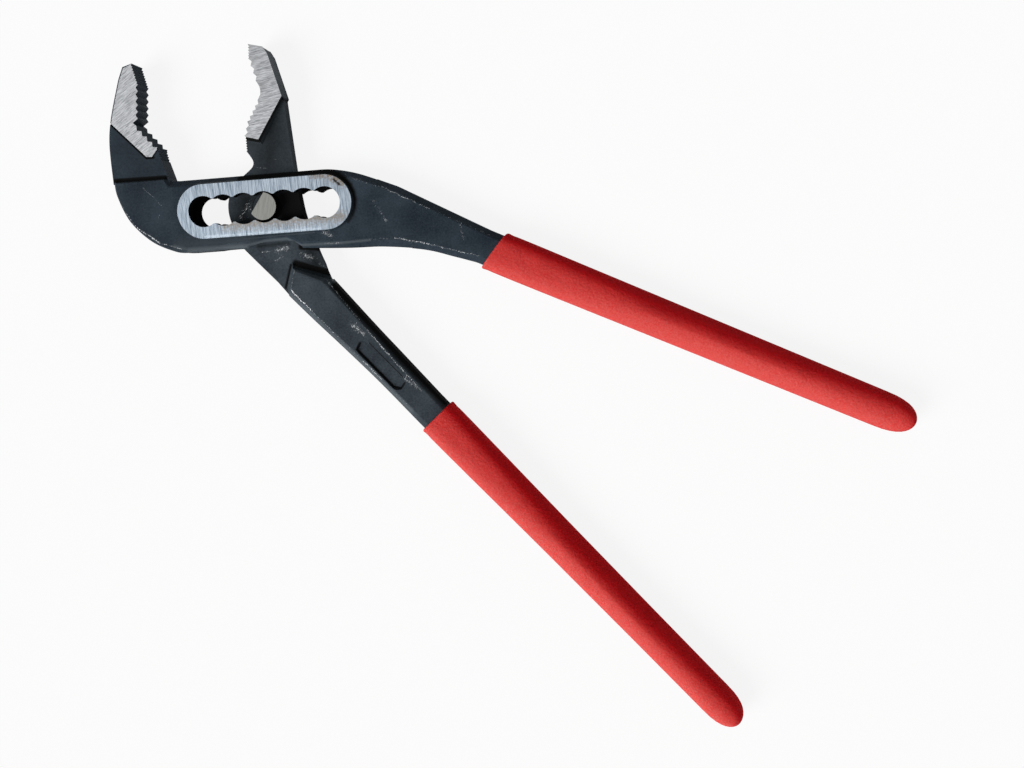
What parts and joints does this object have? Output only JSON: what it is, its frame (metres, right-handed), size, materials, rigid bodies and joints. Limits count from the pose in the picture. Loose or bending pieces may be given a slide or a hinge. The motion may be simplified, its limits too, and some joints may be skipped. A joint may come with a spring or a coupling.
{
  "type": "water pump pliers",
  "caption": "Adjustable box-joint water pump pliers: a slotted lever, an inner lever that turns and slides on a flatted pivot pin, angled toothed jaws and red dipped grips.",
  "frame": {"origin": "On the pivot axis with the pin in the middle notch, on the plane that the tool lies on.", "axes": "+X runs along the adjusting slot from the jaws to the handles, +Y points from the slot to the jaw tips, +Z is the pivot axis, up from the plane that the tool lies on."},
  "size_m": [0.2737, 0.2519, 0.012],
  "materials": {
    "black_forged_steel": "thin black finish on forged steel, worn to bare metal along the edges, with ground bright jaw and slot faces",
    "ground_steel": "ground flat end faces, satin",
    "red_dipped_vinyl": "matte dipped vinyl with a fine orange-peel grain"
  },
  "bodies": {
    "slotted_lever": {"slotted_lever": "black_forged_steel", "slotted_lever_grip": "red_dipped_vinyl"},
    "pivot": {"pivot_pin": "ground_steel"},
    "inner_lever": {"inner_lever": "black_forged_steel", "inner_lever_grip": "red_dipped_vinyl"}
  },
  "joints": [
    {"name": "notch_slide", "type": "slide", "parent": "slotted_lever", "child": "pivot", "axis": [1, 0, 0], "range_m": [-0.02175, 0.02175]},
    {"name": "jaw_pivot", "type": "hinge", "parent": "pivot", "child": "inner_lever", "pos_m": [0, 0, 0.006], "axis": [0, 0, 1], "range_deg": [-35, 18]}
  ]
}
